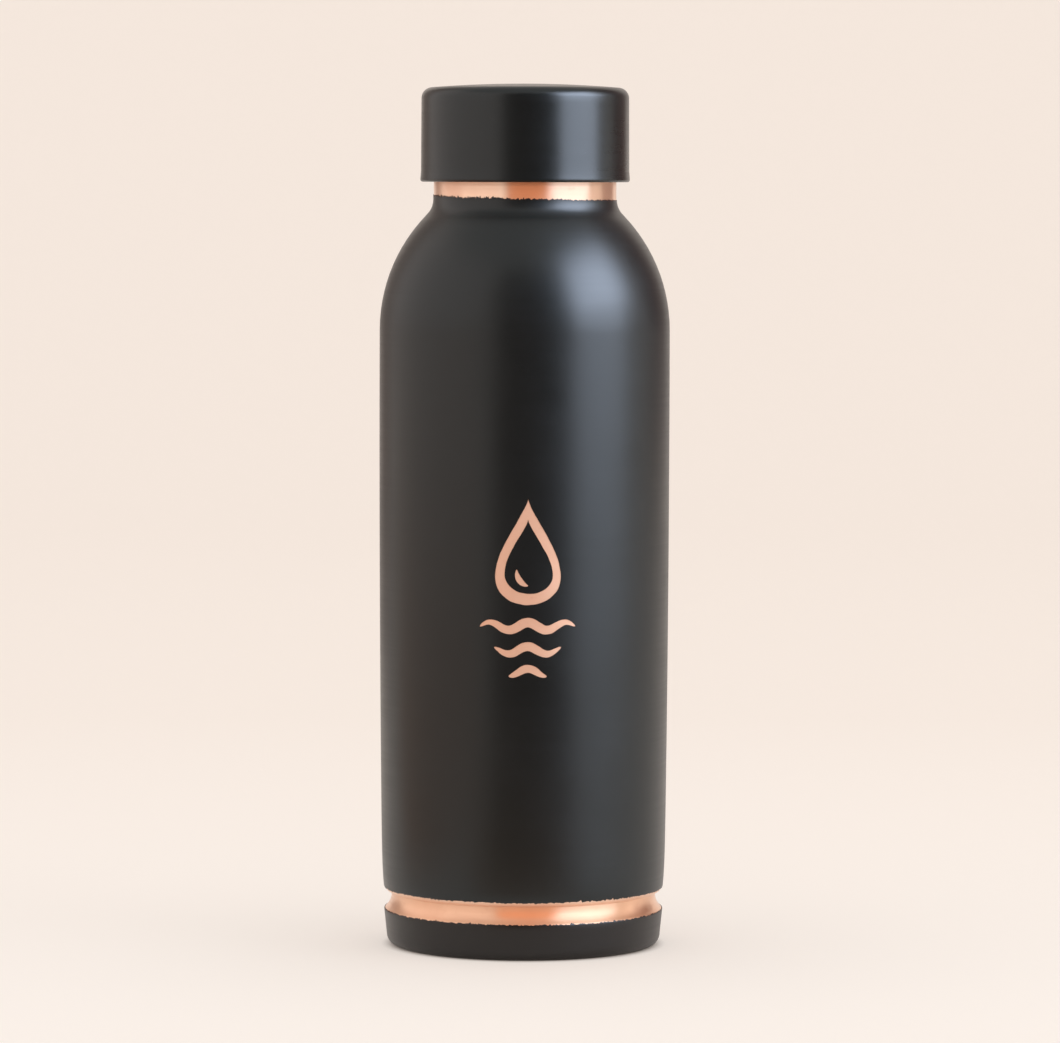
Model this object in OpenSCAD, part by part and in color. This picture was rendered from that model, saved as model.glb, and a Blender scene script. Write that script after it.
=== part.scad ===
// Water bottle of drawn copper sheet with a screw cap.
// +Z is up, the origin is the centre of the base on the table, and the front faces -Y.

/* [Sheet] */
// Thickness of the drawn copper sheet
sheet = 0.6; // [0.5:0.1:1.0]
// Gap that the brazing metal fills where two pieces are sleeved together
braze_gap = 0.05; // [0.02:0.01:0.1]

/* [Barrel] */
// Largest outside radius of the barrel
belly_r = 37.0; // [36.5:0.1:38]
// Height of the barrel's largest radius
belly_z = 138; // [125:1:145]
// Outside radius where the barrel starts to close towards its lower lip
heel_r = 36.3; // [36:0.05:37]
// Height where the barrel starts to close towards its lower lip
heel_z = 24; // [20:1:30]
// Radius of the barrel's rolled lower lip, seen from the side
lip_round = 2.05; // [1.6:0.05:2.4]
// Height of the centre of the rolled lip
lip_z = 15.6; // [15:0.1:17]
// Outside radius of the barrel at the rolled lip
lip_r = 35.8; // [35.5:0.05:36.2]

/* [Shoulder and neck] */
// Height where the shoulder starts to curve in
shoulder_z = 157.5; // [150:0.5:160]
// Radius of the shoulder's curve, seen from the side
shoulder_round = 42; // [40:0.5:46]
// Outside radius of the neck
neck_r = 23.35; // [23.2:0.05:23.6]
// Radius of the hollow curve between the shoulder and the neck
neck_fillet = 5.5; // [3:0.1:7]
// Height of the top edge of the neck
neck_top_z = 196; // [195.5:0.1:196.5]

/* [Base] */
// Largest outside radius of the base, just under the groove
base_r = 35.65; // [35.3:0.05:36]
// Height of the base's largest radius
base_h = 9; // [8:0.1:10]
// Outside radius of the base just above its bottom corner
foot_r = 35; // [34.7:0.05:35.3]
// Radius of the bottom corner
foot_round = 2.7; // [2:0.1:3.5]
// Width of the flat ring that the bottle stands on
foot_ring = 1.6; // [1:0.1:3]
// How far the middle of the bottom is pressed up
kick_up = 2.4; // [1:0.1:4]
// Outside radius of the groove, and of the sleeve inside the barrel
groove_r = 33.9; // [33.7:0.05:34.2]
// Rounding of the base's upper edge
edge_round = 0.8; // [0.5:0.1:1.2]
// Height of the top of the sleeve inside the barrel
sleeve_top_z = 21; // [19:0.5:23]

/* [Mouth and thread] */
// Radius of the mouth
mouth_r = 20.3; // [19.5:0.1:20.5]
// Radius of the collar between its threads
collar_r = 21.8; // [21.5:0.1:22]
// Height of the flat lip that seals against the washer
mouth_z = 215.6; // [215:0.1:216]
// How far a thread stands out from the wall
thread_height = 1.1; // [0.9:0.1:1.2]
// Space between the crest of one thread and the wall across from it
thread_clearance = 0.4; // [0.35:0.05:0.5]
// Distance between neighbouring threads along the axis
thread_pitch = 4; // [3.8:0.1:5]
// Number of thread starts
thread_starts = 2; // [1:1:2]
// Turns that each start makes
thread_turns = 1.25; // [1:0.25:1.5]
// Height where the middle of each thread starts
thread_z = 200.6; // [200.4:0.1:201]
// Width of a thread at its foot
thread_foot_w = 2.6; // [2:0.1:2.8]
// Width of a thread at its crest
thread_crest_w = 1.1; // [0.8:0.1:1.3]

/* [Cap] */
// Outside radius of the cap
cap_r = 26.4; // [26:0.1:27]
// Height of the cap's lower edge when it is screwed down
cap_z = 195.3; // [195:0.1:195.5]
// Height of the cap's upper edge when it is screwed down
cap_edge_z = 219.2; // [219:0.1:220]
// Radius of the cap's upper edge
cap_round = 2.7; // [1.5:0.1:3]
// How much the middle of the cap's top stands above its edge
crown = 0.95; // [0.5:0.05:1.5]
// How far the hemmed lower edge stands out from the wall
hem = 0.25; // [0.1:0.05:0.4]
// Thickness of the cap's thread ring
ring_wall = 1.2; // [1:0.1:1.4]
// Thickness of the washer
washer_t = 2; // [1.8:0.1:2.2]

/* [Hidden] */

$fn = 120;
coat_black = [0.17, 0.17, 0.18];
copper = [0.78, 0.49, 0.34];
silicone = [0.9, 0.9, 0.87];

// The hollow curve of the neck touches both the shoulder's curve and the neck's wall
shoulder_c = [belly_r - belly_drop(shoulder_z) - shoulder_round, shoulder_z];
fillet_r = neck_r + neck_fillet;
fillet_rise = sqrt(pow(shoulder_round + neck_fillet, 2) - pow(fillet_r - shoulder_c[0], 2));
fillet_c = [fillet_r, shoulder_z + fillet_rise];
fillet_angle = atan2(fillet_rise, fillet_r - shoulder_c[0]);

// The rolled lip ends where its inside meets the sleeve of the base
lip_c = [lip_r - lip_round, lip_z];
lip_angle = acos((groove_r + braze_gap - lip_c[0]) / (lip_round - sheet));

// The base's upper edge turns over this far before it sweeps up into the groove
edge_turn = 48;
edge_c = [base_r - edge_round, base_h];
edge_end = edge_c + edge_round * [cos(edge_turn), sin(edge_turn)];
groove_sweep = (edge_end[0] - groove_r) / (1 - cos(edge_turn));
groove_c = edge_end + groove_sweep * [cos(edge_turn), sin(edge_turn)];

// The kicked-up middle of the bottom slopes down to the standing ring
ring_out_r = foot_r - foot_round;
ring_in_r = ring_out_r - foot_ring;
kick_slope = 4;

// The stop on the collar, which sits on the top edge of the neck
stop_h = 1.2;
skirt_z = 186.5;
skirt_r = neck_r - sheet - braze_gap;
lip_bevel = 0.4;

// The cap's thread ring leaves room round the collar's threads, above its stop and below the washer
ring_gap = 1.2;
washer_gap = 0.2;
ring_r = collar_r + thread_height + thread_clearance;
ring_z = neck_top_z + stop_h + ring_gap;
ring_top_z = mouth_z - washer_gap;
flange_t = 1;

// Each thread start is a row of four-sided sections, one every thread_step degrees. They are set into
// the wall by thread_root, and rise from a part of their full height over thread_fade at each end
thread_lead = thread_pitch * thread_starts;
thread_step = 15;
thread_root = 0.6;
thread_root_w = thread_foot_w + 0.3;
thread_fade = 30;
thread_end_height = 0.25;

// The crown of the cap is one shallow arc over its flat width
crown_r = cap_r - cap_round;
crown_arc = (pow(crown_r, 2) + pow(crown, 2)) / (2 * crown);
crown_c = [0, cap_edge_z + crown - crown_arc];
hem_h = 1;
hem_blend = 4;

// The washer reaches a little into the mouth and out over the thread ring. The lining above it has a
// raised panel in its middle
washer_in_r = mouth_r - 0.8;
washer_out_r = 25;
washer_bevel = 0.3;
lining_t = 0.4;
lining_r = 25.1;
lining_panel_r = 16.5;
lining_step = 0.5;

// How much narrower than its belly the barrel is at height z
function belly_drop(z) = (belly_r - heel_r) * pow((belly_z - z) / (belly_z - heel_z), 2);

// Points along an arc in n steps, from angle a to angle b. first = 1 leaves out the point at a
function arc(centre, r, a, b, n, first = 0) = [
    for (i = [first : n])
        let (t = a + (b - a) * i / n)
        centre + r * [cos(t), sin(t)]
];

// Unit normal on the left of the step from a to b
function left_of(a, b) = [a[1] - b[1], b[0] - a[0]] / norm(b - a);

// The path moved to its left by t, mitred at each corner and kept off the far side of the axis
function beside(path, t) = [
    for (i = [0 : len(path) - 1])
        let (
            last = len(path) - 1,
            before = left_of(path[max(i - 1, 0)], path[max(i, 1)]),
            after = left_of(path[min(i, last - 1)], path[min(i + 1, last)]),
            both = before + after,
            moved = path[i] + 2 * t * both / (both * both)
        )
        [max(moved[0], 0), moved[1]]
];

function reversed(path) = [for (i = [len(path) - 1 : -1 : 0]) path[i]];

// A round piece of sheet metal: path is its outer side, with the metal on the left of it
module spun(path, t = sheet) {
    rotate_extrude()
        polygon(concat(path, reversed(beside(path, t))));
}

// One thread start, from a wall of radius wall_r to a crest of radius crest_r
module thread_start(wall_r, crest_r, first_angle) {
    out = crest_r > wall_r ? 1 : -1;
    root_r = wall_r - out * thread_root;
    turn = 360 * thread_turns;
    steps = turn / thread_step;
    sections = [
        for (i = [0 : steps])
            let (
                a = i * thread_step,
                full = min(1, thread_end_height + min(a, turn - a) / thread_fade),
                tip_r = wall_r + (crest_r - wall_r) * full,
                tip_w = thread_crest_w * full,
                z = thread_z + thread_lead * a / 360,
                outline = [
                    [root_r, -thread_root_w / 2],
                    [tip_r, -tip_w / 2],
                    [tip_r, tip_w / 2],
                    [root_r, thread_root_w / 2],
                ]
            )
            for (p = outline)
                [p[0] * cos(a + first_angle), p[0] * sin(a + first_angle), z + out * p[1]]
    ];
    sides = [
        for (i = [0 : steps - 1], j = [0 : 3])
            let (
                a = 4 * i + j,
                b = 4 * i + (j + 1) % 4
            )
            each [[a, b + 4, a + 4], [a, b, b + 4]]
    ];
    ends = [
        [3, 2, 1, 0],
        [for (j = [0 : 3]) 4 * steps + j],
    ];
    polyhedron(sections, concat(sides, ends), convexity = 8);
}

// Barrel, shoulder and neck, drawn and spun from one sheet
module body_shell() {
    barrel_steps = 8;
    barrel = [
        for (i = [0 : barrel_steps - 1])
            let (z = heel_z + (shoulder_z - heel_z) * i / barrel_steps)
            [belly_r - belly_drop(z), z]
    ];
    outside = concat(
        arc(lip_c, lip_round, -lip_angle, 0, 6),
        barrel,
        arc(shoulder_c, shoulder_round, 0, fillet_angle, 14),
        arc(fillet_c, neck_fillet, 180 + fillet_angle, 180, 5, first = 1),
        [[neck_r, neck_top_z]]
    );
    color(coat_black)
        spun(outside);
}

// Pressed base: a kicked-up bottom, and a wall that is necked in to sleeve inside the barrel
module base_cup() {
    outside = concat(
        [[0, kick_up], [ring_in_r - kick_slope, kick_up], [ring_in_r, 0]],
        arc([ring_out_r, foot_round], foot_round, -90, 0, 7),
        arc(edge_c, edge_round, 0, edge_turn, 4),
        arc(groove_c, groove_sweep, 180 + edge_turn, 180, 5, first = 1),
        [[groove_r, sleeve_top_z]]
    );
    color(coat_black)
        spun(outside);
}

// Turned ring brazed in the neck, with the mouth, the sealing lip and the outside threads
module neck_collar() {
    stop_top_z = neck_top_z + stop_h;
    color(copper)
    union() {
        rotate_extrude()
            polygon([
                [mouth_r, skirt_z],
                [skirt_r, skirt_z],
                [skirt_r, neck_top_z],
                [neck_r, neck_top_z],
                [neck_r, stop_top_z],
                [collar_r, stop_top_z],
                [collar_r, mouth_z - lip_bevel],
                [collar_r - lip_bevel, mouth_z],
                [mouth_r, mouth_z],
            ]);
        for (i = [0 : thread_starts - 1])
            thread_start(collar_r, collar_r + thread_height, 360 / thread_starts * i);
    }
}

// Drawn cap with a crowned top and a hemmed lower edge
module cap_shell() {
    crown_edge = acos(crown_r / crown_arc);
    outside = concat(
        [
            [cap_r + hem, cap_z],
            [cap_r + hem, cap_z + hem_h],
            [cap_r, cap_z + hem_h + hem_blend],
        ],
        arc([crown_r, cap_edge_z - cap_round], cap_round, 0, crown_edge, 6),
        arc(crown_c, crown_arc, crown_edge, 90, 9, first = 1)
    );
    color(coat_black)
        spun(outside);
}

// Turned ring brazed in the cap, with the inside threads and a flange to the cap's wall
module cap_thread_ring() {
    outer_r = ring_r + ring_wall;
    crest_r = collar_r + thread_clearance;
    shift = 180 / thread_starts;
    color(copper)
    union() {
        rotate_extrude()
            polygon([
                [ring_r, ring_z],
                [cap_r - sheet - braze_gap, ring_z],
                [cap_r - sheet - braze_gap, ring_z + flange_t],
                [outer_r, ring_z + flange_t],
                [outer_r, ring_top_z],
                [ring_r, ring_top_z],
            ]);
        for (i = [0 : thread_starts - 1])
            thread_start(ring_r, crest_r, 360 / thread_starts * i + shift);
    }
}

// Pressed disc that closes the inside of the cap and gives the washer a flat seat
module cap_lining() {
    seat_z = mouth_z + washer_t;
    underside = [
        [0, seat_z + lining_step],
        [lining_panel_r, seat_z + lining_step],
        [lining_panel_r + 1, seat_z],
        [lining_r, seat_z],
    ];
    color(copper)
        spun(underside, lining_t);
}

// Silicone sealing washer between the collar's lip and the lining
module cap_washer() {
    color(silicone)
        rotate_extrude()
            polygon([
                [washer_in_r, mouth_z],
                [washer_out_r - washer_bevel, mouth_z],
                [washer_out_r, mouth_z + washer_bevel],
                [washer_out_r, mouth_z + washer_t - washer_bevel],
                [washer_out_r - washer_bevel, mouth_z + washer_t],
                [washer_in_r, mouth_z + washer_t],
            ]);
}

body_shell();
base_cup();
neck_collar();
cap_shell();
cap_thread_ring();
cap_lining();
cap_washer();
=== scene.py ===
"""Looks of the screw-cap water bottle: drawn copper under a satin black coat.

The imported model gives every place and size. Lengths below are in millimetres, and MM turns them into
metres when a mesh is made. The bottle stands on z = 0, its axis is z, and its front faces -y.
"""

import math

import bpy
import numpy as np
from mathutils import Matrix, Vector, noise
from mathutils.geometry import delaunay_2d_cdt


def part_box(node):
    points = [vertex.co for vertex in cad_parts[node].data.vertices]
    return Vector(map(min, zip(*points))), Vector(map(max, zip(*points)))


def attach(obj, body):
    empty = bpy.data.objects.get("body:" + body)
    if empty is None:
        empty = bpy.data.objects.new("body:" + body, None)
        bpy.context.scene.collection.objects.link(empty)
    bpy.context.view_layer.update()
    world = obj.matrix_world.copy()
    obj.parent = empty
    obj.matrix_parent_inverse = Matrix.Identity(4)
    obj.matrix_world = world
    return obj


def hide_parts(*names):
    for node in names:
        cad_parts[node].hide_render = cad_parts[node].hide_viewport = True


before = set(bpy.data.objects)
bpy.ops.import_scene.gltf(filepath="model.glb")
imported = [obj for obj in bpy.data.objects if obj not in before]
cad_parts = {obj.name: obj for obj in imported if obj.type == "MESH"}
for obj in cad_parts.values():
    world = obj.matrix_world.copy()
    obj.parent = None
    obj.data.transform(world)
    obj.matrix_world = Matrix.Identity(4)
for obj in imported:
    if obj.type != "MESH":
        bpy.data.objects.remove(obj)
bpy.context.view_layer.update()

MM = 0.001


# ---- Body shell ----
# Barrel, shoulder and neck are drawn and spun from one copper sheet. The lower lip is rolled in round
# the base, and the copper is left bare at the neck, in the lip's groove and on the inside.

SHEET = 0.6
COAT_OUT = 0.06
BARE_IN = 0.06
BELLY_Z = 138
HEEL_Z = 24
HEEL_DROP = 0.7
HEEL_EASE = 4.2
LIP_R = 35.8
LIP_Z = 15.6
LIP_ROUND = 2.05
SHOULDER_Z = 157.5
SHOULDER_ROUND = 42
NECK_FILLET = 5.5
COLUMNS = 240

shell_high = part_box("body_shell")[1]
belly_r = shell_high.x / MM
neck_top_z = shell_high.z / MM
neck_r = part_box("neck_collar")[1].x / MM


def arc(centre, radius, start, end, steps):
    """Points (radius, height) along an arc of the outline, from one angle to another in degrees."""
    turns = np.radians(np.linspace(start, end, steps + 1))
    return [(centre[0] + radius * math.cos(t), centre[1] + radius * math.sin(t)) for t in turns]


def barrel_r(z):
    """Outside radius of the barrel: a long shallow belly that eases in to the lower lip."""
    belly = belly_r - HEEL_DROP * ((BELLY_Z - z) / (BELLY_Z - HEEL_Z)) ** 2
    tuck = belly_r - HEEL_DROP * ((BELLY_Z - LIP_Z) / (BELLY_Z - HEEL_Z)) ** 2 - LIP_R
    return belly - tuck * math.exp((LIP_Z - z) / HEEL_EASE)


def body_outline():
    """Outside of the body from the edge of the lower lip to the top of the neck."""
    lip_slope = math.degrees(math.atan(barrel_r(LIP_Z + 0.5) * 2 - barrel_r(LIP_Z) * 2))
    lip_c = (LIP_R - LIP_ROUND * math.cos(math.radians(lip_slope)), LIP_Z)
    shoulder_c = (barrel_r(SHOULDER_Z) - SHOULDER_ROUND, SHOULDER_Z)
    fillet_r = neck_r + NECK_FILLET
    rise = math.sqrt((SHOULDER_ROUND + NECK_FILLET) ** 2 - (fillet_r - shoulder_c[0]) ** 2)
    fillet_turn = math.degrees(math.atan2(rise, fillet_r - shoulder_c[0]))
    barrel = [(barrel_r(z), z) for z in np.linspace(LIP_Z, SHOULDER_Z, 72)[1:-1]]
    return (
        arc(lip_c, LIP_ROUND, -72, -lip_slope, 12)
        + barrel
        + arc(shoulder_c, SHOULDER_ROUND, 0, fillet_turn, 40)
        + arc((fillet_r, SHOULDER_Z + rise), NECK_FILLET, 180 + fillet_turn - 1, 180, 12)
        + [(neck_r, z) for z in np.linspace(SHOULDER_Z + rise + 0.4, neck_top_z, 8)]
    )


def run_of(points):
    """An outline as arrays: distance along it, radius, height, and the outward normal."""
    p = np.array(points, float)
    s = np.concatenate([[0.0], np.cumsum(np.linalg.norm(np.diff(p, axis=0), axis=1))])
    t = np.gradient(p, s, axis=0)
    t /= np.linalg.norm(t, axis=1)[:, None]
    return {"s": s, "r": p[:, 0], "z": p[:, 1], "nr": t[:, 1], "nz": -t[:, 0]}


def moved_out(points, distance):
    """The outline moved along its outward normal."""
    run = run_of(points)
    r = np.maximum(run["r"] + distance * run["nr"], 0)
    return list(zip(r, run["z"] + distance * run["nz"]))


def sheet_loop(points, outside, inside):
    """Closed outline of a sheet piece: its outer side moved out, and back along its inner side."""
    return moved_out(points, outside) + moved_out(points, -inside)[::-1]


def spun(name, loop, shape=None, columns=COLUMNS):
    """A closed outline turned round the axis. shape may change the radius by angle and height."""
    loop = np.array(loop, float)
    theta = 2 * np.pi * np.arange(columns) / columns
    verts, rings = [], []
    for r, z in loop:
        if r < 1e-6:
            rings.append([len(verts)] * columns)
            verts.append((0.0, 0.0, z * MM))
            continue
        rr = np.full(columns, r) if shape is None else shape(theta, r, z)
        rings.append(range(len(verts), len(verts) + columns))
        verts += list(zip(rr * np.sin(theta) * MM, -rr * np.cos(theta) * MM, np.full(columns, z * MM)))
    faces = []
    on_axis = loop[0][0] < 1e-6 and loop[-1][0] < 1e-6
    pairs = list(zip(rings, rings[1:])) + ([] if on_axis else [(rings[-1], rings[0])])
    for low, high in pairs:
        for j in range(columns):
            k = (j + 1) % columns
            face = [low[j], low[k], high[k], high[j]]
            face = [v for i, v in enumerate(face) if v != face[i - 1]]
            if len(face) > 2:
                faces.append(face)
    mesh = bpy.data.meshes.new(name)
    mesh.from_pydata(verts, [], faces)
    mesh.shade_smooth()
    mesh.set_sharp_from_angle(angle=math.radians(40))
    piece = bpy.data.objects.new(name, mesh)
    bpy.context.scene.collection.objects.link(piece)
    return piece


body_line = body_outline()
body_copper = spun("body_copper", sheet_loop(body_line, -BARE_IN, SHEET))
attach(body_copper, "bottle")
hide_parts("body_shell")

# ---- Base ----
# The bottom is a pressed copper cup. Its middle is kicked up so that it stands on a narrow ring, and
# its wall is necked in above the groove to sleeve inside the barrel, where it is brazed.

BASE_H = 9.0
FOOT_R = 35.0
FOOT_ROUND = 2.7
FOOT_RING = 1.6
KICK_UP = 2.4
KICK_EASE = 5
GROOVE_R = 33.9
EDGE_ROUND = 0.8
EDGE_TURN = 48

base_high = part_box("base_cup")[1]
base_r = base_high.x / MM
sleeve_top_z = base_high.z / MM


def eased(a, b, steps):
    """Points from a to b on a smooth S-shaped step, as a press leaves in sheet."""
    t = np.linspace(0, 1, steps + 1)
    ease = t * t * (3 - 2 * t)
    return [(a[0] + (b[0] - a[0]) * u, a[1] + (b[1] - a[1]) * e) for u, e in zip(t, ease)]


def base_outline():
    """Outside of the base, from the middle of the bottom to the top of the hidden sleeve."""
    ring_out = FOOT_R - FOOT_ROUND
    ring_in = ring_out - FOOT_RING
    edge_c = (base_r - EDGE_ROUND, BASE_H)
    turn = math.radians(EDGE_TURN)
    edge_end = (edge_c[0] + EDGE_ROUND * math.cos(turn), edge_c[1] + EDGE_ROUND * math.sin(turn))
    sweep = (edge_end[0] - GROOVE_R) / (1 - math.cos(turn))
    groove_c = (edge_end[0] + sweep * math.cos(turn), edge_end[1] + sweep * math.sin(turn))
    flat = [(r, KICK_UP) for r in (0, 3, 8, 14, 20, ring_in - KICK_EASE)]
    part_way = (0.2, 0.4, 0.6, 0.8)
    wall = [(FOOT_R + (base_r - FOOT_R) * u, FOOT_ROUND + (BASE_H - FOOT_ROUND) * u) for u in part_way]
    return (
        flat
        + eased((ring_in - KICK_EASE, KICK_UP), (ring_in, 0), 12)[1:]
        + [(ring_in + 0.5 * FOOT_RING, 0)]
        + arc((ring_out, FOOT_ROUND), FOOT_ROUND, -90, -6, 14)
        + wall
        + arc(edge_c, EDGE_ROUND, 0, EDGE_TURN, 8)
        + arc(groove_c, sweep, 180 + EDGE_TURN, 180, 10)[1:]
        + [(GROOVE_R, z) for z in (14, 16, 18.5, sleeve_top_z)]
    )


base_line = base_outline()
base_copper = spun("base_copper", sheet_loop(base_line, -BARE_IN, SHEET))
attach(base_copper, "bottle")
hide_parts("base_cup")

# ---- Copper finishes ----
# The bare copper is polished on the lathe and left to mellow: fine rings run round it, and thin brown
# tarnish clouds it. The same rings show faintly through the coat.


def group(name, inputs, outputs):
    """A new shader node group with named sockets, and its input and output nodes."""
    tree = bpy.data.node_groups.new(name, "ShaderNodeTree")
    for socket, kind, value in inputs:
        made = tree.interface.new_socket(socket, in_out="INPUT", socket_type="NodeSocket" + kind)
        made.default_value = value
    for socket, kind in outputs:
        tree.interface.new_socket(socket, in_out="OUTPUT", socket_type="NodeSocket" + kind)
    return tree, tree.nodes.new("NodeGroupInput").outputs, tree.nodes.new("NodeGroupOutput").inputs


def fill(tree, node, sockets):
    """Give each named or numbered input socket of a node its value or its link."""
    for key, value in sockets.items():
        socket = node.inputs[int(key[1:]) if key[1:].isdigit() else key.replace("_", " ")]
        if isinstance(value, bpy.types.NodeSocket):
            tree.links.new(value, socket)
        else:
            socket.default_value = value


def put(tree, kind, settings=(), **sockets):
    """A node in a tree, with its settings and its sockets filled."""
    node = tree.nodes.new("ShaderNode" + kind)
    for key, value in dict(settings).items():
        setattr(node, key, value)
    fill(tree, node, sockets)
    return node


def place(tree, made, **sockets):
    """A group placed in a material, with its own values."""
    node = tree.nodes.new("ShaderNodeGroup")
    node.node_tree = made
    fill(tree, node, sockets)
    return node.outputs


def blend(tree, amount, first, second):
    """A colour between two, by an amount from 0 to 1."""
    return put(tree, "Mix", {"data_type": "RGBA"}, _0=amount, _6=first, _7=second).outputs[2]


def ramp(tree, value, start, end, at_start=0.0, at_end=1.0):
    """A number that goes from one value to another while the given one goes from start to end."""
    return put(tree, "MapRange", Value=value, _1=start, _2=end, _3=at_start, _4=at_end).outputs[0]


def new_material(name):
    """A new material, its node tree and its shader."""
    made = bpy.data.materials.new(name)
    made.use_nodes = True
    return made, made.node_tree, made.node_tree.nodes["Principled BSDF"]


def finish_with(tree, shader, colour, rough, bump):
    """Link a finish's colour, roughness and bump to its shader."""
    tree.links.new(colour, shader.inputs["Base Color"])
    tree.links.new(rough, shader.inputs["Roughness"])
    tree.links.new(bump.outputs["Normal"], shader.inputs["Normal"])


def lathe_rings():
    """Fine lines round the axis, as a lathe tool or a polishing mop leaves, that come and go."""
    tree, given, out = group(
        "Lathe rings",
        [("Rings per metre", "Float", 4000.0), ("Reach", "Float", 30.0)],
        [("Lines", "Float")],
    )
    place_now = put(tree, "TexCoord").outputs["Object"]
    across = put(tree, "CombineXYZ", X=given["Reach"], Y=given["Reach"], Z=given["Rings per metre"])
    squeezed = put(tree, "VectorMath", {"operation": "MULTIPLY"}, _0=place_now, _1=across.outputs[0])
    lines = put(tree, "TexNoise", Vector=squeezed.outputs[0], Scale=1.0, Detail=3.0, Roughness=0.6)
    tree.links.new(lines.outputs["Fac"], out["Lines"])
    return tree


def tarnish():
    """Brown clouds of thin oxide on copper, with small darker spots."""
    tree, given, out = group(
        "Tarnish",
        [("Bright", "Color", (1, 1, 1, 1)), ("Brown", "Color", (0, 0, 0, 1)), ("Amount", "Float", 0.5)],
        [("Colour", "Color"), ("Cover", "Float")],
    )
    place_now = put(tree, "TexCoord").outputs["Object"]
    clouds = put(tree, "TexNoise", Vector=place_now, Scale=70.0, Detail=5.0, Roughness=0.65, Distortion=0.6)
    spots = put(tree, "TexNoise", Vector=place_now, Scale=420.0, Detail=2.0)
    cloud = ramp(tree, clouds.outputs["Fac"], 0.42, 0.78, 0.0, 0.6)
    spot = ramp(tree, spots.outputs["Fac"], 0.62, 0.80, 0.0, 0.5)
    both = put(tree, "Math", {"operation": "ADD"}, _0=cloud, _1=spot)
    cover = put(tree, "Math", {"operation": "MULTIPLY"}, _0=both.outputs[0], _1=given["Amount"])
    tree.links.new(blend(tree, cover.outputs[0], given["Bright"], given["Brown"]), out["Colour"])
    tree.links.new(cover.outputs[0], out["Cover"])
    return tree


LATHE_RINGS = lathe_rings()
TARNISH = tarnish()


def copper_finish(name, bright, brown, amount, smooth, dull, rings, depth, brushed):
    """Bare copper, with amount of tarnish on it, from 0 to 1.

    smooth and dull are the roughness of clean and of tarnished copper. rings are counted per metre, and
    depth is theirs. brushed is how far the gloss is drawn out along the axis.
    """
    made, tree, shader = new_material(name)
    shader.inputs["Metallic"].default_value = 1.0
    shader.inputs["Anisotropic"].default_value = brushed
    shader.inputs["Anisotropic Rotation"].default_value = 0.25
    round_axis = put(tree, "Tangent", {"direction_type": "RADIAL", "axis": "Z"})
    tree.links.new(round_axis.outputs[0], shader.inputs["Tangent"])
    skin = place(tree, TARNISH, Bright=bright, Brown=brown, Amount=amount)
    lines = place(tree, LATHE_RINGS, Rings_per_metre=rings, Reach=25.0)
    rough = ramp(tree, skin["Cover"], 0.0, 0.6, smooth, dull)
    streak = ramp(tree, lines["Lines"], 0.3, 0.7, -0.03, 0.04)
    total = put(tree, "Math", {"operation": "ADD"}, _0=rough, _1=streak)
    bump = put(tree, "Bump", Strength=0.5, Distance=depth * MM, Height=lines["Lines"])
    finish_with(tree, shader, skin["Colour"], total.outputs[0], bump)
    return made


spun_copper = copper_finish(
    "spun_copper", bright=(0.96, 0.66, 0.50, 1), brown=(0.74, 0.38, 0.23, 1),
    amount=0.35, smooth=0.36, dull=0.44, rings=2600.0, depth=0.004, brushed=0.93,
)
# A darker, more orange copy of the spun copper for the base: a painted reflection of the warm floor close
# in front of the groove.
base_copper_with_painted_reflection = copper_finish(
    "base_copper_with_painted_reflection", bright=(0.92, 0.58, 0.40, 1), brown=(0.70, 0.33, 0.19, 1),
    amount=0.35, smooth=0.33, dull=0.42, rings=2600.0, depth=0.004, brushed=0.93,
)
turned_copper = copper_finish(
    "turned_copper", bright=(0.95, 0.60, 0.43, 1), brown=(0.52, 0.22, 0.12, 1),
    amount=0.35, smooth=0.24, dull=0.34, rings=5200.0, depth=0.006, brushed=0.8,
)
etched_copper = copper_finish(
    "etched_copper", bright=(0.97, 0.63, 0.47, 1), brown=(0.80, 0.43, 0.29, 1),
    amount=0.55, smooth=0.50, dull=0.60, rings=900.0, depth=0.004, brushed=0.0,
)
body_copper.data.materials.append(spun_copper)
base_copper.data.materials.append(base_copper_with_painted_reflection)

# ---- Black coat on the body ----
# A thin satin black coat is baked on over the copper. It stops at a hand-masked, slightly ragged edge
# on the neck and in the groove, and a drawing is cut through it on the front.

COAT_COLUMNS = 240
COAT_ROWS = 1.9
ROW_TURN = 7
COAT_UNDER = BARE_IN + 0.02
EDGE_STEPS = (0.0, 0.12, 0.35, 0.75, 1.4)
EDGE_BAND = 2.4
EDGE_FADE = 4.5
EDGE_SIZE = 0.15
COAT_LOW_Z = 14.85
COAT_HIGH_Z = 191.1
FRONT_HALF = 21
FRONT_LOW = 64.5
FRONT_HIGH = 121.5
RIM = 0.16


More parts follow.
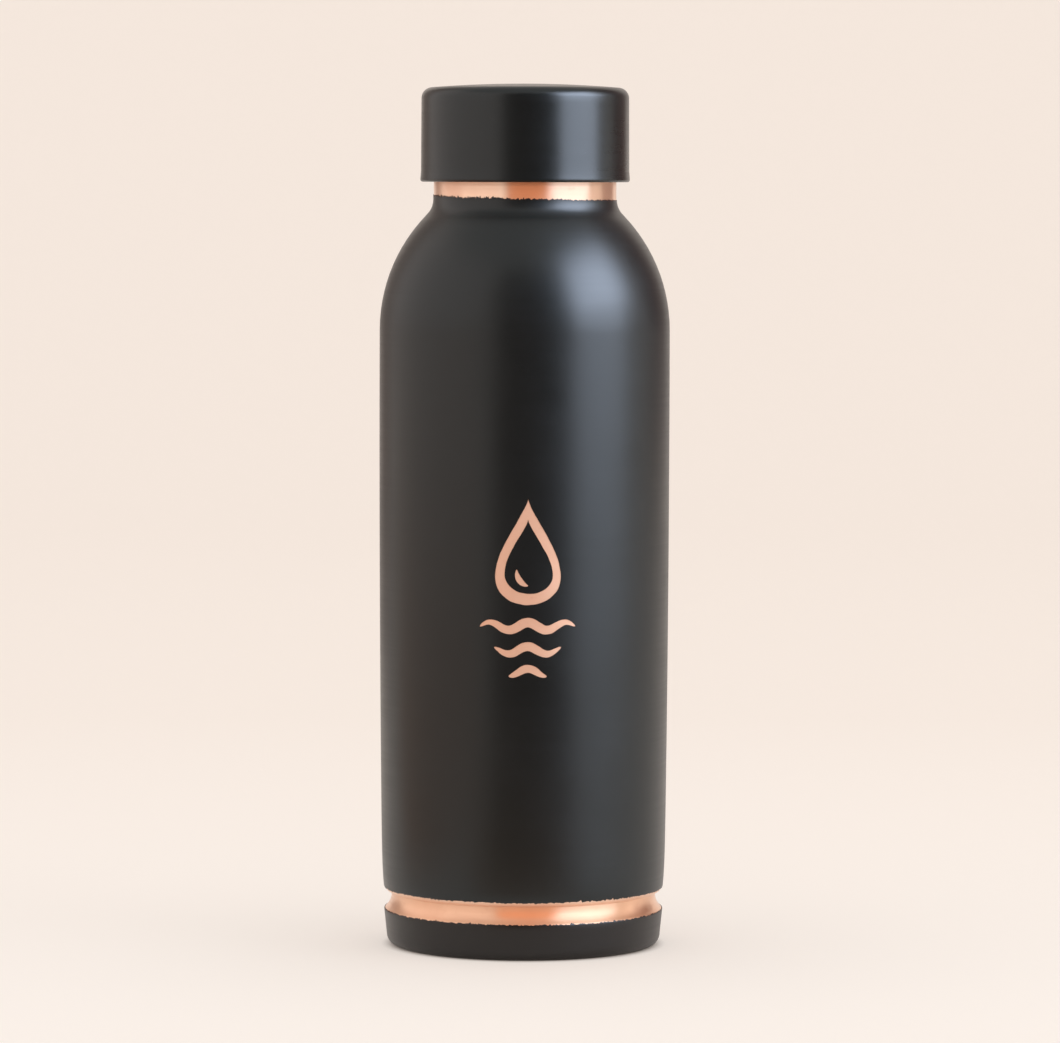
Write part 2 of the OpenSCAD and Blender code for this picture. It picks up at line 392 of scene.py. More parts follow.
def lay_skin(name, run, theta, s, faces, out, under):
    """A thin closed skin on a turned surface. Each point is an angle and a distance along the outline.

    The skin's outside stands out by one distance and its underside lies below by the other. Edge
    is 1 on the points of its open edges, so that the finish can darken there.
    """
    r, z = np.interp(s, run["s"], run["r"]), np.interp(s, run["s"], run["z"])
    nr, nz = np.interp(s, run["s"], run["nr"]), np.interp(s, run["s"], run["nz"])
    size = np.hypot(nr, nz)
    nr, nz = np.where(r < 1e-6, 0, nr / size), np.where(r < 1e-6, np.sign(nz), nz / size)
    normal = np.stack([nr * np.sin(theta), -nr * np.cos(theta), nz], 1)
    at = np.stack([r * np.sin(theta), -r * np.cos(theta), z], 1)
    count = len(theta)
    verts = np.concatenate([at + normal * out, at - normal * under]) * MM
    used = set()
    for face in faces:
        used.update(zip(face, face[1:] + face[:1]))
    open_edges = [(a, b) for a, b in used if (b, a) not in used and max(r[a], r[b]) > 1e-6]
    under_faces = [[v + count for v in face[::-1]] for face in faces]
    walls = [[b, a, a + count, b + count] for a, b in open_edges]
    mesh = bpy.data.meshes.new(name)
    mesh.from_pydata(verts, [], faces + under_faces + walls)
    mesh.shade_smooth()
    both = np.concatenate([normal, -normal])
    ways = [both[v] for face in faces + under_faces for v in face]
    for wall in walls:
        a, b, c = (verts[v] for v in wall[:3])
        way = np.cross(b - a, c - b)
        ways += [way / max(np.linalg.norm(way), 1e-12)] * 4
    mesh.normals_split_custom_set(ways)
    edge = np.zeros(2 * count, np.float32)
    for a, b in open_edges:
        edge[[a, b, a + count, b + count]] = 1
    mesh.attributes.new("edge", "FLOAT", "POINT").data.foreach_set("value", edge)
    piece = bpy.data.objects.new(name, mesh)
    bpy.context.scene.collection.objects.link(piece)
    return piece


def coat_grid(run, low, high, pitch, low_edge, high_edge, window=None):
    """Points and faces of a coat between two distances along the outline.

    low_edge and high_edge give the ragged edge's shift at each angle, or are None where the coat ends
    on a plain edge or on the axis. A window (first row height, last row height, half its columns) is
    left open for the drawing, and the edge of the opening is returned with it.
    """
    rows = []
    if low_edge is not None:
        rows += [(low + d, 4 if d < 1 else 2) for d in EDGE_STEPS]
    if high_edge is not None:
        rows += [(high - d, 4 if d < 1 else 2) for d in EDGE_STEPS]
    first = low + (EDGE_BAND if low_edge is not None else 0)
    last = high - (EDGE_BAND if high_edge is not None else 0)
    between, way = [first], None
    for s, nr, nz in zip(run["s"], run["nr"], run["nz"]):
        if not first + 0.1 < s < last - 0.1:
            continue
        turned = 0
        if way is not None:
            turned = abs(math.atan2(nr * way[1] - nz * way[0], nr * way[0] + nz * way[1]))
        if way is None or s - between[-1] >= pitch or turned > math.radians(ROW_TURN):
            between.append(s)
            way = (nr, nz)
    between.append(last)
    rows = sorted(rows + [(s, 1) for s in between])
    theta, dist, index = [], [], []
    for s, finer in rows:
        columns = COAT_COLUMNS * finer
        index.append(np.arange(len(theta), len(theta) + columns))
        for t in -math.pi + 2 * math.pi * np.arange(columns) / columns:
            shift = 0.0
            if low_edge is not None:
                shift += max(0, 1 - (s - low) / EDGE_FADE) * low_edge(t)
            if high_edge is not None:
                shift += max(0, 1 - (high - s) / EDGE_FADE) * high_edge(t)
            theta.append(t)
            dist.append(s + shift)
    faces, rim = [], []
    middle = COAT_COLUMNS // 2
    for i, (low_ring, high_ring) in enumerate(zip(index, index[1:])):
        n, m = len(low_ring), len(high_ring)
        inside = window and window[0] <= rows[i][0] and rows[i + 1][0] <= window[1]
        for j in range(min(n, m)):
            if inside and abs(j + 0.5 - middle) < window[2]:
                continue
            a = [low_ring[(j * n // min(n, m) + k) % n] for k in range(n // min(n, m) + 1)]
            b = [high_ring[(j * m // min(n, m) + k) % m] for k in range(m // min(n, m) + 1)]
            faces.append([int(v) for v in a + b[::-1]])
    if window:
        lines = [ring for ring, (s, _) in zip(index, rows) if window[0] <= s <= window[1]]
        sides = range(middle - window[2], middle + window[2] + 1)
        rim = [lines[0][j] for j in sides] + [ring[sides[-1]] for ring in lines[1:-1]]
        rim += [lines[-1][j] for j in sides[::-1]] + [ring[sides[0]] for ring in lines[-2:0:-1]]
        return np.array(theta), np.array(dist), faces, [int(v) for v in rim]
    return np.array(theta), np.array(dist), faces


def ragged(seed, size, nicks):
    """A masked edge: its shift in millimetres at each angle, with small nicks here and there."""

    def shift(t):
        at = Vector((math.cos(t), math.sin(t), seed))
        wander = noise.noise(at * 3.0) * 0.4 + noise.noise(at * 22.0) * 0.3
        tooth = max(-1.0, min(1.0, 3.0 * noise.noise(at * 62.0))) * 0.8 + noise.noise(at * 130.0) * 1.3
        nick = max(0.0, noise.noise(at * 48.0) - 0.33) * nicks
        return size * (wander + tooth) + nick

    return shift


def neck_edge(t):
    """The neck's masked edge sits a little higher on the left than on the right."""
    right = math.sin(t)
    return ragged(seed=3.7, size=0.23, nicks=0.4)(t) * (1.0 - 0.45 * right) - 0.5 * right


def height_to_distance(run, z, beyond=0.0):
    """Distance along the outline to a height, looking only past the given distance."""
    past = run["s"] >= beyond
    return float(np.interp(z, run["z"][past], run["s"][past]))


# The drawing is a drop of water over three ripples. Its points are millimetres across and up.

DRAWING_X = 1.0
DROP_W = 16.6
DROP_H = 26.5
DROP_Z = 103.2
RIPPLES = ((84.6, 24.4, 2.3), (78.6, 17.0, 2.1), (73.0, 9.6, 1.9))


def drop_loop(wide, high, middle_z, lean, steps):
    """A teardrop with its point up. lean moves its belly to one side."""
    t = np.linspace(0, 2 * np.pi, steps, endpoint=False)
    x = np.sin(t) * np.sin(t / 2) ** 1.7
    x *= wide / 2 / x.max()
    return np.stack([x + DRAWING_X + lean * np.sin(t / 2) ** 4, np.cos(t) * high / 2 + middle_z], 1)


def hand_cut(loop, size=0.09):
    """The loop with the slight unevenness of a line that is cut by hand."""

    def drift(x, y, seed):
        return noise.noise(Vector((x, y, seed)) * 0.45) + noise.noise(Vector((y, x, seed + 2.0))) * 0.5

    return loop + np.array([(drift(x, y, 0.5), drift(x, y, 7.5)) for x, y in loop]) * size


def stroke(path, width):
    """A closed outline round a path, with a width at each of its points."""
    way = np.gradient(path, axis=0)
    way /= np.linalg.norm(way, axis=1)[:, None]
    side = np.stack([-way[:, 1], way[:, 0]], 1) * (width / 2)[:, None]
    return np.concatenate([path - side, (path + side)[::-1]])


def drawing():
    """Closed loops. Copper shows between one loop and the next one inside it."""
    loops = [drop_loop(DROP_W, DROP_H, DROP_Z, 0.0, 150)]
    loops.append(drop_loop(DROP_W - 4.5, DROP_H - 8.0, DROP_Z - 1.2, 0.35, 110))
    bend = np.radians(np.linspace(172, 262, 40))
    shine = np.stack([3.3 * np.cos(bend) + DRAWING_X + 0.5, 3.6 * np.sin(bend) + DROP_Z - 4.9], 1)
    loops.append(stroke(shine, 0.12 + 1.35 * np.sin(np.linspace(0, np.pi, 40)) ** 0.8))
    for z, length, width in RIPPLES:
        steps = int(length * 5)
        x = np.linspace(-length / 2, length / 2, steps)
        y = 0.95 * np.cos(2 * np.pi * x / 9.6)
        taper = np.sin(np.linspace(0, np.pi, steps)) ** 0.55
        loops.append(stroke(np.stack([x + DRAWING_X, y + z], 1), 0.12 + width * taper))
    return [hand_cut(loop) for loop in loops]


def inside_count(points, loops):
    """How many loops each point is inside."""
    count = np.zeros(len(points), int)
    for loop in loops:
        a, b = loop, np.roll(loop, -1, axis=0)
        crossed = np.zeros(len(points), int)
        for (ax, ay), (bx, by) in zip(a, b):
            level = (points[:, 1] < ay) != (points[:, 1] < by)
            at = ax + (points[:, 1] - ay) * (bx - ax) / (by - ay if by != ay else 1e-9)
            crossed += level & (points[:, 0] < at)
        count += crossed % 2
    return count


def far_from(points, others, least):
    """The points that are at least that far from all the others."""
    keep = [np.min(np.sum((others - p) ** 2, axis=1)) >= least**2 for p in points]
    return points[np.array(keep)]


body_run = run_of(body_line)
coat_low = height_to_distance(body_run, COAT_LOW_Z)
coat_high = height_to_distance(body_run, COAT_HIGH_Z)
window = (height_to_distance(body_run, FRONT_LOW), height_to_distance(body_run, FRONT_HIGH), FRONT_HALF)
theta, dist, coat_faces, rim = coat_grid(
    body_run, coat_low, coat_high, COAT_ROWS, ragged(seed=1.3, size=EDGE_SIZE, nicks=0.9), neck_edge, window
)

# The opening is filled with triangles that follow the drawing: coat outside its lines, and a thin
# floor of etched copper inside them. Across is measured round the barrel at its belly.
belly_scale = belly_r
rim_points = np.stack([theta[rim] * belly_scale, dist[rim]], 1)
loops = [np.stack([a[:, 0], np.interp(a[:, 1], body_run["z"], body_run["s"])], 1) for a in drawing()]
line_points = np.concatenate(loops)
beside_lines = []
for loop in loops:
    way = np.roll(loop, -1, axis=0) - np.roll(loop, 1, axis=0)
    way /= np.linalg.norm(way, axis=1)[:, None]
    side = np.stack([way[:, 1], -way[:, 0]], 1) * RIM
    beside_lines += [loop + side, loop - side]
beside_lines = far_from(np.concatenate(beside_lines), line_points, RIM * 0.9)
low_corner, high_corner = rim_points.min(0), rim_points.max(0)
across, up = np.meshgrid(
    np.arange(low_corner[0] + 0.9, high_corner[0] - 0.5, 0.97),
    np.arange(low_corner[1] + 1.0, high_corner[1] - 0.6, 1.5),
)
drawn = np.concatenate([line_points, beside_lines])
filling = far_from(np.stack([across.ravel(), up.ravel()], 1), drawn, 0.5)
free = np.concatenate([beside_lines, filling])
flat_points = np.concatenate([rim_points, line_points, free])
edges, start = [], 0
for count in [len(rim)] + [len(loop) for loop in loops]:
    edges += [(start + i, start + (i + 1) % count) for i in range(count)]
    start += count
flat, _, triangles, origin, _, _ = delaunay_2d_cdt([Vector(p) for p in flat_points], edges, [], 0, 1e-5)
flat = np.array([tuple(p) for p in flat])
triangles = np.array([tuple(t) for t in triangles])
middles = flat[triangles].mean(axis=1)
etched = inside_count(middles, loops) % 2 == 1

coat_vertex = {i: rim[source[0]] for i, source in enumerate(origin) if source and min(source) < len(rim)}
new = [i for i in sorted({int(v) for t in triangles[~etched] for v in t}) if i not in coat_vertex]
coat_vertex.update({i: len(theta) + k for k, i in enumerate(new)})
theta = np.concatenate([theta, flat[new, 0] / belly_scale])
dist = np.concatenate([dist, flat[new, 1]])
coat_faces += [[coat_vertex[int(v)] for v in t] for t in triangles[~etched]]
body_coat = lay_skin("body_coat", body_run, theta, dist, coat_faces, COAT_OUT, COAT_UNDER)
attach(body_coat, "bottle")

floor_points = sorted({int(v) for t in triangles[etched] for v in t})
floor_vertex = {v: i for i, v in enumerate(floor_points)}
etched_floor = lay_skin(
    "etched_drawing",
    body_run,
    flat[floor_points, 0] / belly_scale,
    flat[floor_points, 1],
    [[floor_vertex[int(v)] for v in t] for t in triangles[etched]],
    -BARE_IN + 0.012,
    BARE_IN + 0.04,
)
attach(etched_floor, "bottle")
etched_floor.data.materials.append(etched_copper)

COOL_BLACK = (0.0010, 0.0058, 0.0074, 1)
COOL_GREY = (0.0034, 0.0084, 0.0102, 1)
BURNT_BROWN = (0.075, 0.028, 0.014, 1)


def coat_finish(name, dark, pale, smooth, dull, rings):
    """Satin black coat: a fine uneven skin, faint rings from the metal below, brown where it is cut."""
    made, tree, shader = new_material(name)
    place_now = put(tree, "TexCoord").outputs["Object"]
    lines = place(tree, LATHE_RINGS, Rings_per_metre=1500.0, Reach=18.0)
    haze = put(tree, "TexNoise", Vector=place_now, Scale=38.0, Detail=4.0, Roughness=0.6)
    skin = put(tree, "TexNoise", Vector=place_now, Scale=2600.0, Detail=1.0)
    black = blend(tree, haze.outputs["Fac"], dark, pale)
    edge = put(tree, "Attribute", {"attribute_name": "edge"}).outputs["Fac"]
    cut = blend(tree, ramp(tree, edge, 0.25, 1.0, 0.0, 0.75), black, BURNT_BROWN)
    rough = ramp(tree, haze.outputs["Fac"], 0.3, 0.7, smooth, dull)
    streak = ramp(tree, lines["Lines"], 0.3, 0.7, -0.016, 0.016)
    total = put(tree, "Math", {"operation": "ADD"}, _0=rough, _1=streak)
    skin_and_rings = {"_0": lines["Lines"], "_1": rings, "_2": skin.outputs["Fac"]}
    height = put(tree, "Math", {"operation": "MULTIPLY_ADD"}, **skin_and_rings)
    bump = put(tree, "Bump", Strength=0.35, Distance=0.006 * MM, Height=height.outputs[0])
    finish_with(tree, shader, cut, total.outputs[0], bump)
    return made


black_coat = coat_finish("satin_black_coat", COOL_BLACK, COOL_GREY, smooth=0.32, dull=0.38, rings=1.2)
body_coat.data.materials.append(black_coat)

# ---- Black coat on the base ----
# The same coat covers the outside and the underside of the base, up to a ragged edge in the groove. Its
# colour there is painted browner, a painted reflection of the warm floor and contact shadow beside it.

BASE_COAT_ROWS = 1.5
BASE_COAT_Z = 9.3

base_run = run_of(base_line)
past_ring = base_run["s"][np.argmax(base_run["r"] > FOOT_R - FOOT_ROUND - 0.1)]
base_top = height_to_distance(base_run, BASE_COAT_Z, past_ring)
base_theta, base_s, base_faces = coat_grid(
    base_run, 0.0, base_top, BASE_COAT_ROWS, None, ragged(seed=8.1, size=EDGE_SIZE, nicks=0.8)
)
base_coat = lay_skin("base_coat", base_run, base_theta, base_s, base_faces, COAT_OUT, COAT_UNDER)
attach(base_coat, "bottle")
# Warm browns painted into the base coat's colour: a painted reflection of the warm floor beside the base.
FLOOR_REFLECTION_BLACK = (0.0022, 0.0008, 0.0002, 1)
FLOOR_REFLECTION_GREY = (0.0048, 0.0020, 0.0008, 1)
base_coat_painted_reflection = coat_finish("base_coat_painted_reflection", FLOOR_REFLECTION_BLACK, FLOOR_REFLECTION_GREY, smooth=0.34, dull=0.40, rings=1.0)
base_coat.data.materials.append(base_coat_painted_reflection)

# ---- Neck collar ----
# A ring turned from copper bar and brazed in the neck. It carries the mouth, the flat sealing lip and
# the two-start outside thread, and its stop sits on the top edge of the neck.

MOUTH_R = 20.3
COLLAR_R = 21.8
STOP_H = 1.2
THREAD_H = 1.1
THREAD_CLEARANCE = 0.4
THREAD_PITCH = 4
THREAD_STARTS = 2
THREAD_TURNS = 1.25
THREAD_Z = 200.6
THREAD_FOOT = 2.6
THREAD_CREST = 1.1
THREAD_FADE = 35
THREAD_ROWS = 0.13
SLEEVE_GAP = 0.05

collar_low, collar_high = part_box("neck_collar")
mouth_z = collar_high.z / MM
skirt_z = collar_low.z / MM


def rounded(corners, radius, steps=4):
    """A closed outline with each corner rounded, and none where its radius is 0."""
    out = []
    for i, (corner, r) in enumerate(zip(corners, radius)):
        here = np.array(corner, float)
        back = np.array(corners[i - 1], float) - here
        on = np.array(corners[(i + 1) % len(corners)], float) - here
        if r == 0:
            out.append(tuple(here))
            continue
        a = here + back / np.linalg.norm(back) * r
        b = here + on / np.linalg.norm(on) * r
        for u in np.linspace(0, 1, steps + 1):
            out.append(tuple((1 - u) ** 2 * a + 2 * u * (1 - u) * here + u * u * b))
    return out


def thread_rise(theta, z, first_turn):
    """How far the thread stands out, from 0 to 1, at each angle round the axis and one height."""
    rise = np.zeros_like(theta)
    lead = THREAD_PITCH * THREAD_STARTS
    for start in range(THREAD_STARTS):
        turned_by = np.degrees(theta) - 90 - first_turn - 360 / THREAD_STARTS * start
        for lap in range(math.ceil(THREAD_TURNS)):
            along = turned_by % 360 + 360 * lap
            off = np.abs(z - THREAD_Z - lead * along / 360)
            flank = np.clip((THREAD_FOOT / 2 - off) / ((THREAD_FOOT - THREAD_CREST) / 2), 0, 1)
            left = np.minimum(along, 360 * THREAD_TURNS - along) / THREAD_FADE
            fade = np.clip(left, 0, 1)
            both = flank * flank * (3 - 2 * flank) * fade * fade * (3 - 2 * fade)
            rise = np.maximum(rise, both)
    return rise


def threaded(wall_r, height, first_turn):
    """A shape for spun() that raises the thread from the wall of one radius."""

    def shape(theta, r, z):
        if abs(r - wall_r) > 1e-6:
            return np.full_like(theta, r)
        return wall_r + height * thread_rise(theta, z, first_turn)

    return shape


def collar_outline():
    """Bore, skirt in the neck, stop on its edge, threaded wall and rounded lip."""
    stop_top = neck_top_z + STOP_H
    skirt_r = neck_r - SHEET - SLEEVE_GAP
    thread_zone = [(COLLAR_R, z) for z in np.arange(stop_top + 0.3, mouth_z - 1.2, THREAD_ROWS)]
    lower = [(MOUTH_R, skirt_z), (skirt_r, skirt_z), (skirt_r, neck_top_z), (neck_r, neck_top_z)]
    lower = rounded(lower + [(neck_r, stop_top), (COLLAR_R, stop_top), (COLLAR_R, stop_top + 5)],
                    [0.4, 0.3, 0, 0.25, 0.25, 0.25, 0])[:-1]
    lip = [(COLLAR_R, mouth_z - 3), (COLLAR_R, mouth_z), (MOUTH_R, mouth_z), (MOUTH_R, mouth_z - 3)]
    lip = rounded(lip, [0, 0.5, 0.35, 0])[1:]
    return lower + thread_zone + lip


neck_collar = spun("neck_collar_turned", collar_outline(), threaded(COLLAR_R, THREAD_H, 0))
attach(neck_collar, "bottle")
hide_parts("neck_collar")
neck_collar.data.materials.append(turned_copper)

# ---- Cap shell ----
# Drawn from one copper sheet, with a slightly crowned top, a soft upper edge and a lower edge that
# flares a little to its rolled hem. The coat covers the outside and wraps the hem, and the inside is bare.

CAP_ROUND = 2.7
CROWN = 0.95
HEM = 0.25
HEM_ROUND = 0.56
FLARE_H = 2.7
WALL_LEAN = 0.09
CAP_COAT_ROWS = 1.6

cap_low, cap_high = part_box("cap_shell")
cap_z = cap_low.z / MM
cap_r = cap_high.x / MM - HEM
cap_edge_z = cap_high.z / MM - CROWN


def cap_hem():
    """The rolled lower edge, from its inner side round to its widest place."""
    hem_c = (cap_r + HEM - HEM_ROUND, cap_z + HEM_ROUND)
    return arc(hem_c, HEM_ROUND, -165, 8, 15)


def cap_outline():
    """Outside of the cap, from the inner side of its hem to the middle of its crown."""
    crown_r = cap_r - CAP_ROUND
    crown_arc = (crown_r**2 + CROWN**2) / (2 * CROWN)
    edge = math.degrees(math.acos(crown_r / crown_arc))
    low, high = cap_z + FLARE_H, cap_edge_z - CAP_ROUND
    drop = HEM - WALL_LEAN
    wall = [(cap_r + HEM - drop * u * u * (3 - 2 * u), cap_z + HEM_ROUND + (FLARE_H - HEM_ROUND) * u)
            for u in np.linspace(0.08, 1, 10)]
    wall += [(cap_r + WALL_LEAN * (1 - u), low + (high - low) * u) for u in np.linspace(0, 1, 14)[1:-1]]
    return (
        cap_hem()
        + wall
        + arc((crown_r, high), CAP_ROUND, 0, edge, 16)
        + arc((0, cap_edge_z + CROWN - crown_arc), crown_arc, edge + 0.3, 90, 24)
    )


cap_line = cap_outline()
cap_inside = moved_out(cap_line[len(cap_hem()) :], -SHEET)
cap_copper = spun("cap_copper", moved_out(cap_line, -BARE_IN) + cap_inside[::-1])
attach(cap_copper, "cap")
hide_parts("cap_shell")
cap_copper.data.materials.append(spun_copper)

cap_run = run_of(cap_line)
cap_theta, cap_s, cap_faces = coat_grid(
    cap_run, cap_run["s"][0], cap_run["s"][-1], CAP_COAT_ROWS, None, None
)
cap_coat = lay_skin("cap_coat", cap_run, cap_theta, cap_s, cap_faces, COAT_OUT, COAT_UNDER)
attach(cap_coat, "cap")
cap_black_coat = coat_finish("cap_black_coat", COOL_BLACK, COOL_GREY, smooth=0.27, dull=0.33, rings=0.4)
cap_coat.data.materials.append(cap_black_coat)

# ---- Cap thread ring ----
# Turned from copper bar with the inside thread, and brazed to the cap's wall by its flange.

RING_WALL = 1.2
FLANGE_T = 1

ring_low, ring_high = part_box("cap_thread_ring")
ring_r = COLLAR_R + THREAD_H + THREAD_CLEARANCE


def ring_outline():
    """Flange at the bottom, plain outside, and a bore with its thread."""
    low, top = ring_low.z / MM, ring_high.z / MM
    out_r, flange_r = ring_r + RING_WALL, ring_high.x / MM
    corners = [(ring_r, low + 3), (ring_r, low), (flange_r, low), (flange_r, low + FLANGE_T),
               (out_r, low + FLANGE_T), (out_r, top), (ring_r, top), (ring_r, top - 3)]
    outside = rounded(corners, [0, 0.3, 0.2, 0.2, 0.2, 0.3, 0.3, 0])[1:-1]
    return outside + [(ring_r, z) for z in np.arange(top - 0.5, low + 0.4, -THREAD_ROWS)]


cap_ring = spun("cap_ring_turned", ring_outline(), threaded(ring_r, -THREAD_H, 180 / THREAD_STARTS))
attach(cap_ring, "cap")
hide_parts("cap_thread_ring")
cap_ring.data.materials.append(turned_copper)

# ---- Cap lining ----
# A thin pressed copper disc under the crown, with a raised middle, that seats the washer.

LINING_T = 0.4
RAISED = 0.5

lining_low, lining_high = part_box("cap_lining")


def lining_outline():
    """Underside of the disc from its raised middle to its rim."""
    seat, rim = lining_low.z / MM, lining_high.x / MM
    return (
        [(r, seat + RAISED) for r in (0, 5, 10, 14.5)]
        + eased((15.4, seat + RAISED), (17.6, seat), 8)
        + [(19, seat), (22, seat), (rim - 0.2, seat)]
    )


cap_lining = spun("cap_lining_pressed", sheet_loop(lining_outline(), 0, LINING_T))
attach(cap_lining, "cap")
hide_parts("cap_lining")
cap_lining.data.materials.append(spun_copper)

# ---- Cap washer ----
# A moulded silicone ring that is pinched between the collar's lip and the lining.

WASHER_LAP = 0.8
WASHER_ROUND = 0.5

washer_low, washer_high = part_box("cap_washer")


def washer_outline():
    """A flat ring with rounded edges."""
    low, top, out_r = washer_low.z / MM, washer_high.z / MM, washer_high.x / MM
    in_r = MOUTH_R - WASHER_LAP
    corners = [(in_r, low), (out_r, low), (out_r, top), (in_r, top)]
    return rounded(corners, [WASHER_ROUND] * 4, 6)


def silicone_finish():
    """Pale food-grade silicone: soft, slightly see-through, with a faint bloom."""
    made, tree, shader = new_material("silicone")
    place_now = put(tree, "TexCoord").outputs["Object"]
    bloom = put(tree, "TexNoise", Vector=place_now, Scale=160.0, Detail=3.0).outputs["Fac"]
    pale = blend(tree, bloom, (0.74, 0.73, 0.69, 1), (0.83, 0.82, 0.78, 1))
    bump = put(tree, "Bump", Strength=0.3, Distance=0.02 * MM, Height=bloom)
    finish_with(tree, shader, pale, ramp(tree, bloom, 0.3, 0.7, 0.42, 0.58), bump)
    shader.inputs["Subsurface Weight"].default_value = 0.3
    shader.inputs["Subsurface Radius"].default_value = (0.002, 0.002, 0.0018)
    return made


cap_washer = spun("cap_washer_moulded", washer_outline())
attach(cap_washer, "washer_carrier")
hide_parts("cap_washer")
cap_washer.data.materials.append(silicone_finish())

# ---- Stage, lights and camera ----
# Pale paper sweeps up all round, with softboxes on the right and overhead. Cards that show only in the
# gloss stand round the bottle: white on its left, dark in front and at the back corners, tan on the floor.

BLACK = (0.0, 0.0, 0.0, 1)
FRONT_PAPER = (0.54, 0.53, 0.52, 1)
BACK_PAPER = (0.50, 0.48, 0.46, 1)
FRONT_GLOW = (0.91, 0.83, 0.77, 1)
BACK_GLOW = (0.885, 0.785, 0.715, 1)
SHADE_GLOW = (0.12, 0.09, 0.07, 1)


def plain(name, glow, glow_colour, colour=BLACK):
    """A flat matt material that also glows, for paper and cards."""
    made, _, shader = new_material(name)
    shader.inputs["Base Color"].default_value = colour
    shader.inputs["Roughness"].default_value = 0.9
    shader.inputs["Specular IOR Level"].default_value = 0.0
    shader.inputs["Emission Color"].default_value = glow_colour
    shader.inputs["Emission Strength"].default_value = glow
    return made


def pale_sweep():
    """Floor that curves up into a round backdrop on every side."""
    radius, bend, top = 2300, 600, 2600
    outline = [(r, 0) for r in np.linspace(0, radius - bend, 13)]
    outline += arc((radius - bend, bend), bend, -90, 0, 14)[1:]
    outline += [(radius, top), (radius + 20, top), (radius + 20, -20), (0, -20)]
    return spun("pale_sweep", outline, columns=96)


def gloss_card(name, corners, material):
    """A flat card that shows only in the gloss of the bottle."""
    mesh = bpy.data.meshes.new(name)
    mesh.from_pydata(corners, [], [(0, 1, 2, 3)])
    mesh.materials.append(material)
    piece = bpy.data.objects.new(name, mesh)
    bpy.context.scene.collection.objects.link(piece)
    for seen in ("camera", "diffuse", "shadow", "transmission", "volume_scatter"):
        setattr(piece, "visible_" + seen, False)


def round_about(azimuth, distance, height):
    """A place round the bottle. Azimuth 0 is in front of it, and 90 is on its right."""
    a = math.radians(azimuth)
    return (distance * math.sin(a), -distance * math.cos(a), height)


def upright(name, start, end, distance, low, high, material):
    """An upright gloss card between two azimuths."""
    left, right = round_about(start, distance, low), round_about(end, distance, low)
    corners = [left, right, right[:2] + (high,), left[:2] + (high,)]
    gloss_card(name, corners, material)


def softbox(name, azimuth, distance, middle_z, wide, high, glow, colour, tilt=0.0):
    """A rectangular light that faces the bottle. Its glow is what its face measures."""
    light = bpy.data.lights.new(name, "AREA")
    light.shape = "RECTANGLE"
    light.size, light.size_y = wide, high
    light.energy = glow * math.pi * wide * high
    light.color = colour
    lamp = bpy.data.objects.new(name, light)
    lamp.location = round_about(azimuth, distance, middle_z)
    lamp.rotation_euler = (math.radians(90 - tilt), 0, math.radians(azimuth))
    lamp.visible_camera = False
    bpy.context.scene.collection.objects.link(lamp)
    return lamp


def paper():
    """Pale paper that glows a little, with a painted contact shadow under the bottle. It is painted lighter
    in front than far behind.
    """
    made = plain("pale_paper", 0.50, FRONT_GLOW, FRONT_PAPER)
    tree = made.node_tree
    shader = tree.nodes["Principled BSDF"]
    place_now = put(tree, "TexCoord").outputs["Object"]
    # Painted light fall-off: the same paper is given a lighter colour and glow in front than behind.
    back = ramp(tree, put(tree, "SeparateXYZ", Vector=place_now).outputs["Y"], -0.1, 0.6)
    from_axis = put(tree, "VectorMath", {"operation": "LENGTH"}, _0=place_now).outputs["Value"]
    # Painted contact shadow: close round the bottle's foot the glow turns to a dark brown.
    outside_painted_shadow = ramp(tree, from_axis, 0.0325, 0.0365)
    glow = blend(tree, outside_painted_shadow, SHADE_GLOW, blend(tree, back, FRONT_GLOW, BACK_GLOW))
    tree.links.new(blend(tree, back, FRONT_PAPER, BACK_PAPER), shader.inputs["Base Color"])
    tree.links.new(glow, shader.inputs["Emission Color"])
    return made


sweep = pale_sweep()
sweep.data.materials.append(paper())

front_dark = plain("front_dark", 0.17, (1.0, 0.56, 0.42, 1))
floor_tan = plain("floor_tan", 0.60, (1.0, 0.60, 0.36, 1))
side_dark = plain("side_dark", 0.27, (1.0, 0.56, 0.46, 1))
left_dark = plain("left_dark", 0.44, (1.0, 0.78, 0.68, 1))
side_white = plain("side_white", 1.14, (1.0, 0.90, 0.86, 1))
tan_card = plain("tan_card", 0.80, (1.0, 0.62, 0.44, 1))
upright("front_card", -24, 36, 1.5, 0.0, 1.35, front_dark)
for name, height, corners, material in (
    ("near_floor_card", 0.002, [(-0.06, -0.075), (0.07, -0.075), (0.17, -0.20), (-0.13, -0.20)], floor_tan),
    ("front_floor_card", 0.002, [(-0.13, -0.20), (0.17, -0.20), (0.9, -1.4), (-0.6, -1.4)], front_dark),
    ("left_floor_card", 0.003, [(-0.12, 0.0), (-0.12, -0.20), (-0.7, -0.9), (-1.2, 0.7)], tan_card),
):
    gloss_card(name, [corner + (height,) for corner in corners], material)
for name, start, end, distance, low, high, material in (
    ("left_card", -128, -76, 1.2, 0.12, 1.3, side_white),
    ("left_front_card", -76, -28, 1.2, 0.12, 1.3, side_white),
    ("right_back_card", 112, 146, 0.9, 0.09, 1.2, side_dark),
    ("left_back_card", -155, -132, 0.9, 0.0, 1.2, left_dark),
):
    upright(name, start, end, distance, low, high, material)


def only_on(lamp, pieces):
    """The lamp lights these pieces and nothing else, and only in their gloss."""
    group_of = bpy.data.collections.new(lamp.name + "_on")
    for piece in pieces:
        group_of.objects.link(piece)
    lamp.light_linking.receiver_collection = group_of
    lamp.visible_diffuse = False


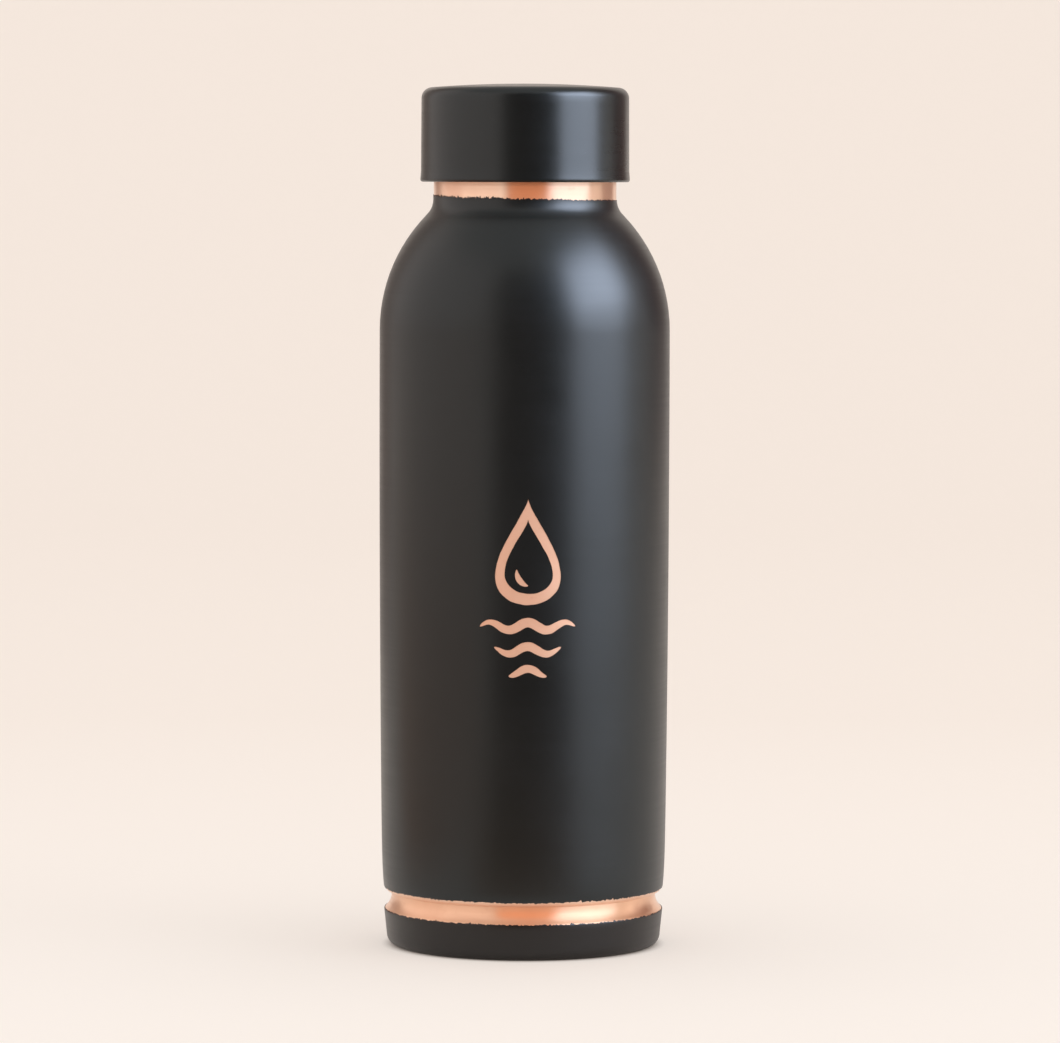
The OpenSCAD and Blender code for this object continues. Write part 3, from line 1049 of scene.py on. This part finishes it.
# Bare copper shines far more than the coat, so it has softboxes of its own that don't burn it out.
coats = [body_coat, base_coat, cap_coat]
polished = [body_copper, base_copper, neck_collar, cap_copper, cap_ring, cap_lining, cap_washer]
for name, azimuth, distance, middle_z, wide, high, glow, colour, pieces in (
    ("right_softbox", 62, 0.80, 0.51, 0.67, 0.76, 4.9, (0.84, 0.985, 1.23), coats),
    ("right_softbox_top", 67, 0.78, 0.75, 0.84, 0.78, 4.6, (0.84, 0.985, 1.26), coats),
    ("copper_softbox", 58, 0.82, 0.60, 0.9, 1.16, 1.42, (0.76, 1.0, 1.24), [*polished, etched_floor]),
    ("copper_front", 6, 1.0, 0.45, 1.1, 1.3, 0.93, (1.0, 0.47, 0.25), polished),
    ("neck_left", -58, 1.0, 0.45, 1.5, 1.3, 0.27, (1.0, 1.4, 1.45), [body_copper, neck_collar]),
    ("groove_right", 113, 0.84, 0.30, 0.36, 0.6, 0.40, (1.0, 0.98, 0.98), [base_copper]),
    ("drawing_front", 6, 1.0, 0.45, 1.1, 1.3, 0.78, (1.0, 1.0, 0.97), [etched_floor]),
):
    only_on(softbox(name, azimuth, distance, middle_z, wide, high, glow, colour), pieces)
for name, azimuth, distance, middle_z, size, glow, colour, tilt in (
    ("right_fill", 65, 1.3, 0.9, 0.9, 0.6, (1.0, 0.98, 0.96), 30),
    ("overhead", 180, 0.4, 1.9, 2.2, 0.38, (1.0, 0.97, 0.94), 90),
):
    softbox(name, azimuth, distance, middle_z, size, size, glow, colour, tilt).visible_glossy = False

world = bpy.data.worlds.new("studio")
world.use_nodes = True
sky = world.node_tree.nodes["Background"].inputs
sky["Color"].default_value = (1.0, 0.95, 0.91, 1)
sky["Strength"].default_value = 0.75
bpy.context.scene.world = world
bpy.context.scene.view_settings.view_transform = "Standard"

CAMERA_BACK = 1.42
CAMERA_UP = 0.1976
CAMERA_RIGHT = 0.00124
CAMERA_DOWN = 3.59
CAMERA_ROLL = -0.15
CAMERA_LENS = 188.8

camera = bpy.data.objects.new("camera", bpy.data.cameras.new("camera"))
camera.data.sensor_width = 36
camera.data.lens = CAMERA_LENS
camera.data.clip_end = 20
camera.location = (CAMERA_RIGHT, -CAMERA_BACK, CAMERA_UP)
camera.rotation_euler = (math.radians(90 - CAMERA_DOWN), math.radians(CAMERA_ROLL), 0)
bpy.context.scene.collection.objects.link(camera)
bpy.context.scene.camera = camera
